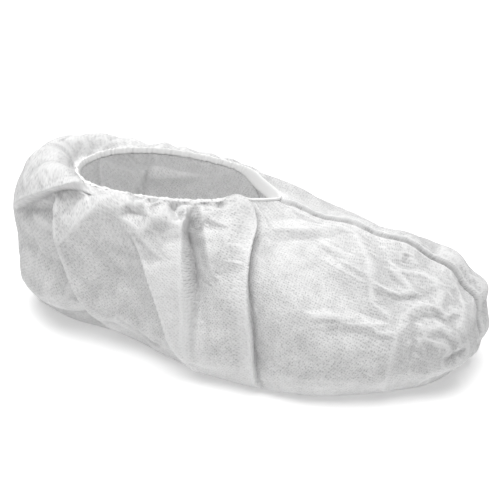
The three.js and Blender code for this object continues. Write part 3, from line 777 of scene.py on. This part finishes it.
def settled(grid):
    """The grid moved to where its fabric comes to rest, kept above the floor and on its side of the seam."""
    coarse = grid[::SETTLE_STEP, ::SETTLE_STEP]
    mesh = bpy.data.meshes.new("settling")
    scaled = coarse.reshape(-1, 3) * MM * SETTLE_SCALE
    mesh.from_pydata(scaled.tolist(), [], grid_faces(*coarse.shape[:2]).tolist())
    piece = bpy.data.objects.new("settling", mesh)
    scene.collection.objects.link(piece)
    held = hold(piece, coarse, depths[::SETTLE_STEP])
    moved = cloth_run(piece, held).reshape(coarse.shape) / (MM * SETTLE_SCALE) - coarse
    bpy.data.objects.remove(piece)
    rest = grid + between_points(moved, grid)
    rest[..., 1] = np.maximum(rest[..., 1], np.minimum(grid[..., 1], 0))
    rest[..., 2] = np.maximum(rest[..., 2], 0)
    print("settled: moved %.1f mm at most" % np.linalg.norm(moved, axis=-1).max())
    return rest


right_grid, left_grid = settled(right_grid), settled(left_grid)

# %% [markdown]
# ## Meshes of the three pieces
# The points now become meshes. Nonwoven keeps a sharp fold, so edges that bend by more than a few degrees
# stay sharp while the rest is shaded smooth. Each panel also carries what its finish needs to know: the
# cloth laid flat as a UV map, where it is creased and where light and shade are painted on it. A Solidify
# modifier gives the sheet the thickness of the cloth, inward, so that its outside stays where the folds put
# it.

# %% A mesh, its cloth coordinates and its creases
SHARP_FOLD = math.radians(9)
SHARP_BEND, SHORTEST_STEP = 0.1, 0.2


def mesh_piece(name, points, faces, body="root"):
    """A smooth-shaded mesh object from points in millimetres, riding on the cover's body."""
    mesh = bpy.data.meshes.new(name)
    mesh.from_pydata((points.reshape(-1, 3) * MM).tolist(), [], faces.tolist())
    mesh.shade_smooth()
    mesh.set_sharp_from_angle(angle=SHARP_FOLD)
    piece = bpy.data.objects.new(name, mesh)
    scene.collection.objects.link(piece)
    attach(piece, body)
    return piece


def cloth_coordinates(piece):
    """A UV map in metres of cloth: distance along the smooth form from the panel's middle, and down it."""
    grid = form_points(grid_station, grid_depth).reshape(*GRID, 3)
    steps = np.linalg.norm(np.diff(grid, axis=1), axis=-1)
    down = np.concatenate([np.zeros((len(grid), 1)), np.cumsum(steps, axis=1)], axis=1)
    strides = np.linalg.norm(np.diff(grid, axis=0), axis=-1)
    along = np.concatenate([np.zeros((1, grid.shape[1])), np.cumsum(strides, axis=0)], axis=0)
    along -= along[len(grid) // 2]
    uv = (np.stack([along, down], -1) * MM).reshape(-1, 2)
    corner_vertices = np.zeros(len(piece.data.loops), int)
    piece.data.loops.foreach_get("vertex_index", corner_vertices)
    layer = piece.data.uv_layers.new(name="cloth")
    layer.data.foreach_set("uv", uv[corner_vertices].ravel())


def crest_marks(grid):
    """Marks above 0 on sharp ridges and below 0 in sharp valleys."""
    along, down = np.gradient(grid, axis=0), np.gradient(grid, axis=1)
    normals = unit(np.cross(down, along))
    bend = np.zeros(grid.shape[:2])
    for step, axis in ((along, 0), (down, 1)):
        second = np.roll(grid, -1, axis) + np.roll(grid, 1, axis) - 2 * grid
        bend -= (second * normals).sum(-1) / ((step**2).sum(-1) + SHORTEST_STEP)
    bend[[0, -1]] = 0
    bend[:, [0, -1]] = 0
    return np.clip(rounded(bend, 1) / SHARP_BEND, -1, 1).ravel()


print("crease marks of the right panel: %.2f on average" % np.abs(crest_marks(right_grid)).mean())

# %% Make the panels and the hem
CLOTH_THICK = 0.5 * MM
SEAM_HALF_GAP = 0.05


def make_panel(name, grid, painted_shading, mirror):
    """A panel's cloth on the left (mirror 1) or the right (mirror -1), in place of its plain solid."""
    points = grid.copy()
    points[..., 1] = mirror * (points[..., 1] + SEAM_HALF_GAP)
    faces = grid_faces(*GRID)
    if mirror < 0:
        faces = faces[:, ::-1]
    piece = mesh_piece(name + "_cloth", points + PLACE, faces)
    cloth_coordinates(piece)
    for attribute, values in (("crest", crest_marks(grid)), ("painted_shading", painted_shading)):
        piece.data.attributes.new(attribute, "FLOAT", "POINT").data.foreach_set("value", values)
    thicken = piece.modifiers.new("cloth thickness", "SOLIDIFY")
    thicken.thickness = CLOTH_THICK
    thicken.offset = -1
    thicken.material_offset = 1
    thicken.material_offset_rim = 0
    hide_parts(name)
    return piece


right_panel = make_panel("right_panel", right_grid, right_painted_shading, -1)
left_panel = make_panel("left_panel", left_grid, left_painted_shading, 1)
hem = mesh_piece("hem_roll", hem_grid + PLACE, grid_faces(HEM_STEPS, HEM_SIDES, True, True))
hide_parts("elastic_hem")
for piece in (right_panel, left_panel, hem):
    print(piece.name, len(piece.data.polygons), "faces")

# %% [markdown]
# ## The nonwoven finish
# Spunbond fabric is a mat of fine plastic fibres, bonded at small points that a heated roll presses into
# it. Up close it shows a field of tiny pits, faint streaks and grains of fibre and a cloudy whiteness. An
# image could give that, but a node group that works on the cloth coordinates never shows a seam or a
# repeat. Three materials use it, each with its own values: the outside, the inside and the hem.

# %% Helpers for nodes
def set_inputs(tree, node, inputs):
    """Gives each of a node's inputs a value, or links an output to it."""
    for socket, value in inputs.items():
        if isinstance(value, bpy.types.NodeSocket):
            tree.links.new(value, node.inputs[socket])
        else:
            node.inputs[socket].default_value = value


def add_node(tree, kind, x, y, inputs=None, **settings):
    """A node at a place in the editor, with its settings and inputs."""
    node = tree.nodes.new(kind)
    node.location = (x, y)
    for setting, value in settings.items():
        setattr(node, setting, value)
    set_inputs(tree, node, inputs or {})
    return node


def add_group(name, inputs, outputs):
    """An empty node group, with a kind and a default for each input and a kind for each output."""
    group = bpy.data.node_groups.new(name, "ShaderNodeTree")
    for socket, (kind, default) in inputs.items():
        group.interface.new_socket(socket, in_out="INPUT", socket_type=kind).default_value = default
    for socket, kind in outputs.items():
        group.interface.new_socket(socket, in_out="OUTPUT", socket_type=kind)
    return group, add_node(group, "NodeGroupInput", -1400, 0).outputs


def calculated(tree, operation, x, y, *values, clamp=False):
    """The result of a Math node."""
    numbers = dict(enumerate(values))
    return add_node(tree, "ShaderNodeMath", x, y, numbers, operation=operation, use_clamp=clamp).outputs[0]


def ranged(tree, value, low, high, x, y, to=(0, 1), **settings):
    """A value mapped from the range low to high onto another range, and cut off at its ends."""
    ranges = {"Value": value, "From Min": low, "From Max": high, "To Min": to[0], "To Max": to[1]}
    return add_node(tree, "ShaderNodeMapRange", x, y, ranges, **settings).outputs["Result"]


def noise(tree, vector, scale, detail, roughness, x, y):
    """A flat noise pattern, around 0.5."""
    pattern = {"Vector": vector, "Scale": scale, "Detail": detail, "Roughness": roughness}
    return add_node(tree, "ShaderNodeTexNoise", x, y, pattern, noise_dimensions="2D").outputs["Fac"]


def mix_colours(tree, factor, first, second, x, y):
    """A colour mix node's result; each of first and second is a colour or an output to link."""
    mix = add_node(tree, "ShaderNodeMix", x, y, {"Factor": factor}, data_type="RGBA")
    for socket, value in (("A", first), ("B", second)):
        colours = [i for i in mix.inputs if i.name == socket and i.type == "RGBA"][0]
        if isinstance(value, tuple):
            colours.default_value = (*value, 1)
        else:
            tree.links.new(value, colours)
    return [o for o in mix.outputs if o.type == "RGBA"][0]


print("node helpers ready for Blender", bpy.app.version_string)

# %% Node group: bonded fibres
BOND_TURN, BOND_RANDOMNESS, BOND_EDGE = math.radians(45), 0.45, (0.12, 0.45)
PRESS_SCALE, PRESS_RANGE = 420, (0.2, 1.6)
CLOUD_SCALE, CLOUD_RANGE = 75, (0.3, 0.7)
GRAIN_SCALE, NOISE_RANGE = 800, (0.35, 0.65)
STRAND_SCALE, STRAND_HEIGHT = (1900, 500, 1), 0.4
FIBRE_DEFAULTS = {"Bond Pitch": 0.0018, "Pit Shade": 0.5, "Cloud Shade": 0.4, "Grain Shade": 0.3}


def fibre_group():
    """Puts out a shade from 0 in the pits to 1, and a height, both from the cloth coordinates."""
    number = "NodeSocketFloat"
    inputs = {name: (number, default) for name, default in FIBRE_DEFAULTS.items()}
    group, given = add_group("bonded_fibres", inputs, {"Shade": number, "Height": number})
    cloth = add_node(group, "ShaderNodeUVMap", -1400, -300, uv_map="cloth").outputs["UV"]

    turn = {"Vector": cloth, "Angle": BOND_TURN}
    turned = add_node(group, "ShaderNodeVectorRotate", -1200, -200, turn, rotation_type="Z_AXIS")
    scale = calculated(group, "DIVIDE", -1200, 100, 1, given["Bond Pitch"])
    field = {"Vector": turned.outputs["Vector"], "Scale": scale, "Randomness": BOND_RANDOMNESS}
    bonds = add_node(group, "ShaderNodeTexVoronoi", -1000, 0, field, voronoi_dimensions="2D")
    spacing = bonds.outputs["Distance"]
    open_cloth = ranged(group, spacing, *BOND_EDGE, -800, 0, interpolation_type="SMOOTHSTEP")
    pits = calculated(group, "SUBTRACT", -600, 0, 1, open_cloth)
    uneven = noise(group, cloth, PRESS_SCALE, 2, 0.5, -1000, 300)
    pressed = ranged(group, uneven, *NOISE_RANGE, -800, 300, PRESS_RANGE)
    strength = calculated(group, "MULTIPLY", -600, 200, pressed, given["Pit Shade"])
    pit_shade = calculated(group, "MULTIPLY", -400, 0, pits, strength)

    clouds = noise(group, cloth, CLOUD_SCALE, 5, 0.65, -1000, -300)
    thin = ranged(group, clouds, *CLOUD_RANGE, -800, -300)
    cloudy = calculated(group, "MULTIPLY_ADD", -400, -200, thin, given["Cloud Shade"], pit_shade)
    grain = noise(group, cloth, GRAIN_SCALE, 3, 0.7, -1000, -900)
    matted = ranged(group, grain, *NOISE_RANGE, -800, -900)
    grainy = calculated(group, "MULTIPLY_ADD", -200, 200, matted, given["Grain Shade"], cloudy)
    shade = calculated(group, "SUBTRACT", 0, 0, 1, grainy, clamp=True)

    stretched = add_node(group, "ShaderNodeMapping", -1200, -600, {"Vector": cloth, "Scale": STRAND_SCALE})
    strands = noise(group, stretched.outputs["Vector"], 1, 3, 0.5, -1000, -600)
    height = calculated(group, "MULTIPLY_ADD", -200, -400, strands, STRAND_HEIGHT, open_cloth)
    add_node(group, "NodeGroupOutput", 200, 0, {"Shade": shade, "Height": height})
    return group


FIBRES = fibre_group()
print("node group:", FIBRES.name, "with", len(FIBRES.nodes), "nodes")

# %% [markdown]
# ## Painted light and shade on the folds
# A second node group paints light and shade into the cloth's colour: a painted highlight on sharp ridges,
# where a pleat lies double, along the gathered rim and at the sole's edge, and painted shade in sharp
# valleys, in the hollows behind pleats and at the toe. It mixes the cloth's colour toward white or toward its
# dark shade, by the crease marks and the painted light and shade that the panels carry.

# %% Node group: painted light and shade of the folds
PAINTED_WHITE = (0.95, 0.95, 0.95)
PAINTED_HIGHLIGHT_STRENGTH, PAINTED_SHADE_STRENGTH = 0.45, 0.6
RIDGE_MARKS, RIDGE_PAINTED_HIGHLIGHT = (0.45, 1.2), 0.6
VALLEY_MARKS, VALLEY_PAINTED_SHADE = (-0.25, -1), 0.3


def painted_fold_shading_group():
    """Puts out the cloth's colour with painted highlights on ridges and doubled cloth and painted shade in
    valleys and hollows.
    """
    colour = "NodeSocketColor"
    inputs = {"Cloth": (colour, (*PAINTED_WHITE, 1)), "Dark": (colour, (*PAINTED_WHITE, 1))}
    group, given = add_group("painted_fold_shading", inputs, {"Colour": colour})
    crest = add_node(group, "ShaderNodeAttribute", -1200, 400, attribute_name="crest").outputs["Fac"]
    painted_shading = add_node(group, "ShaderNodeAttribute", -1200, 700, attribute_name="painted_shading").outputs["Fac"]
    # The panels' mark above 0 gives a painted highlight, below 0 a painted shade.
    doubled = calculated(group, "MULTIPLY", -1000, 700, painted_shading, PAINTED_HIGHLIGHT_STRENGTH, clamp=True)
    hollow = calculated(group, "MULTIPLY", -800, 700, painted_shading, -PAINTED_SHADE_STRENGTH, clamp=True)
    # Sharp ridges get a painted highlight and sharp valleys a painted shade.
    ridge_highlight = ranged(group, crest, *RIDGE_MARKS, -800, 500, (0, RIDGE_PAINTED_HIGHLIGHT))
    valley_shade = ranged(group, crest, *VALLEY_MARKS, -800, 350, (0, VALLEY_PAINTED_SHADE))
    shaded = mix_colours(group, doubled, given["Cloth"], PAINTED_WHITE, -600, 0)
    shaded = mix_colours(group, hollow, shaded, given["Dark"], -400, 0)
    shaded = mix_colours(group, ridge_highlight, shaded, PAINTED_WHITE, -200, 0)
    shaded = mix_colours(group, valley_shade, shaded, given["Dark"], 0, 0)
    add_node(group, "NodeGroupOutput", 200, 0, {"Colour": shaded})
    return group


PAINTED_FOLD_SHADING = painted_fold_shading_group()
print("node group:", PAINTED_FOLD_SHADING.name, "with", len(PAINTED_FOLD_SHADING.nodes), "nodes")

# %% Fabric materials
MATTE = {"Roughness": 0.9, "Specular IOR Level": 0.2, "Sheen Weight": 0.1, "Sheen Roughness": 0.6}
BUMP_DISTANCE = 0.0003
LIGHT_THROUGH = {"Subsurface Weight": 1, "Subsurface Radius": (1, 1, 1), "Subsurface Scale": 0.006}


def fabric(name, pale, dark, pit_shade, cloud_shade, grain_shade, bump_strength):
    """A matte nonwoven: fibre shades between two whites, with the painted light and shade of the folds over
    them.
    """
    material = bpy.data.materials.new(name)
    material.use_nodes = True
    tree = material.node_tree
    shades = {"Pit Shade": pit_shade, "Cloud Shade": cloud_shade, "Grain Shade": grain_shade}
    fibres = add_node(tree, "ShaderNodeGroup", -1000, 0, shades, node_tree=FIBRES).outputs
    cloth = mix_colours(tree, fibres["Shade"], dark, pale, -700, 200)
    colours = {"Cloth": cloth, "Dark": (*dark, 1)}
    folded = add_node(tree, "ShaderNodeGroup", -400, 200, colours, node_tree=PAINTED_FOLD_SHADING).outputs["Colour"]
    relief = {"Strength": bump_strength, "Distance": BUMP_DISTANCE, "Height": fibres["Height"]}
    bump = add_node(tree, "ShaderNodeBump", -300, -200, relief).outputs["Normal"]
    set_inputs(tree, tree.nodes["Principled BSDF"], {**MATTE, "Base Color": folded, "Normal": bump})
    return material


outside = fabric("nonwoven_outside", (0.93, 0.93, 0.928), (0.5, 0.5, 0.503), 0.35, 0.4, 0.3, 0.5)
# The inside is a paler copy of the outside's cloth: painted light that lifts its shade.
inside = fabric("nonwoven_inside_painted_paler", (1, 1, 1), (0.62, 0.62, 0.62), 0.4, 0.6, 0.3, 0.5)
hem_cloth = fabric("nonwoven_hem", (0.97, 0.97, 0.965), (0.84, 0.84, 0.84), 0.3, 0.2, 0.1, 0.4)
# The inside is lit through the thin cloth, which subsurface scattering stands for.
set_inputs(inside.node_tree, inside.node_tree.nodes["Principled BSDF"], LIGHT_THROUGH)
for panel in (right_panel, left_panel):
    panel.data.materials.append(outside)
    panel.data.materials.append(inside)
hem.data.materials.append(hem_cloth)
print("materials:", [m.name for m in (outside, inside, hem_cloth)])

# %% [markdown]
# ## Floor, light and camera
# The cover stands on a plain pale floor under one large soft light from above, as in a catalogue picture.
# The floor glows a little, so that it shows pure white, and sends less light back up to the cover than white
# paper would, or the cloth would lose its shades. The camera looks at the cover's right side from a little
# above and a little toward the toe, through a long lens.

# %% Floor and world
FLOOR_HALF = 6.0
FLOOR_WHITE, FLOOR_BOUNCE = (0.93, 0.93, 0.93), (0.68, 0.68, 0.68)
FLOOR_ROUGHNESS, FLOOR_GLOW = 0.9, 0.27
WORLD_WHITE, WORLD_STRENGTH = (1, 1, 1, 1), 0.1

corners = [(x * FLOOR_HALF, y * FLOOR_HALF, 0) for x, y in ((-1, -1), (1, -1), (1, 1), (-1, 1))]
floor_mesh = bpy.data.meshes.new("floor")
floor_mesh.from_pydata(corners, [], [(0, 1, 2, 3)])
floor = bpy.data.objects.new("floor", floor_mesh)
scene.collection.objects.link(floor)
paper = bpy.data.materials.new("pale_floor")
paper.use_nodes = True
ray = add_node(paper.node_tree, "ShaderNodeLightPath", -600, 0).outputs["Is Camera Ray"]
seen = mix_colours(paper.node_tree, ray, FLOOR_BOUNCE, FLOOR_WHITE, -300, 0)
finish = {"Base Color": seen, "Roughness": FLOOR_ROUGHNESS, "Emission Strength": FLOOR_GLOW}
set_inputs(paper.node_tree, paper.node_tree.nodes["Principled BSDF"], finish)
floor_mesh.materials.append(paper)
world = bpy.data.worlds.new("studio")
world.use_nodes = True
surround = {"Color": WORLD_WHITE, "Strength": WORLD_STRENGTH}
set_inputs(world.node_tree, world.node_tree.nodes["Background"], surround)
scene.world = world
scene.view_settings.view_transform = "Standard"
print("floor: %.0f m wide" % (2 * FLOOR_HALF))

# %% Light
KEY_AZIMUTH, KEY_ELEVATION = math.radians(-35), math.radians(86)
KEY_STRENGTH, KEY_ANGLE = 3.4, math.radians(60)


def way_to(azimuth, elevation):
    """The direction from the cover toward a light or camera; azimuth 0 is at its right side."""
    level = math.cos(elevation)
    return Vector((math.sin(azimuth) * level, -math.cos(azimuth) * level, math.sin(elevation)))


key = bpy.data.lights.new("key", "SUN")
key.energy = KEY_STRENGTH
key.angle = KEY_ANGLE
key_lamp = bpy.data.objects.new("key", key)
key_lamp.rotation_euler = way_to(KEY_AZIMUTH, KEY_ELEVATION).to_track_quat("Z", "Y").to_euler()
scene.collection.objects.link(key_lamp)
print("light from", tuple(round(v, 2) for v in way_to(KEY_AZIMUTH, KEY_ELEVATION)))

# %% Camera
AZIMUTH, ELEVATION = math.radians(17.5), math.radians(30)
DISTANCE, LENS, SENSOR_WIDTH = 1.15, 125.3, 36
AIM = Vector((0.00335, 0.0005, 0.052))
RAISE = 0.0119

back = way_to(AZIMUTH, ELEVATION)
to_right = Vector((math.cos(AZIMUTH), math.sin(AZIMUTH), 0))
to_top = back.cross(to_right)
camera_data = bpy.data.cameras.new("camera")
camera_data.lens = LENS
camera_data.sensor_width = SENSOR_WIDTH
camera = bpy.data.objects.new("camera", camera_data)
camera.matrix_world = Matrix((to_right, to_top, back)).transposed().to_4x4()
camera.location = AIM + to_top * RAISE + back * DISTANCE
scene.collection.objects.link(camera)
scene.camera = camera
print("camera at", tuple(round(v, 3) for v in camera.location))
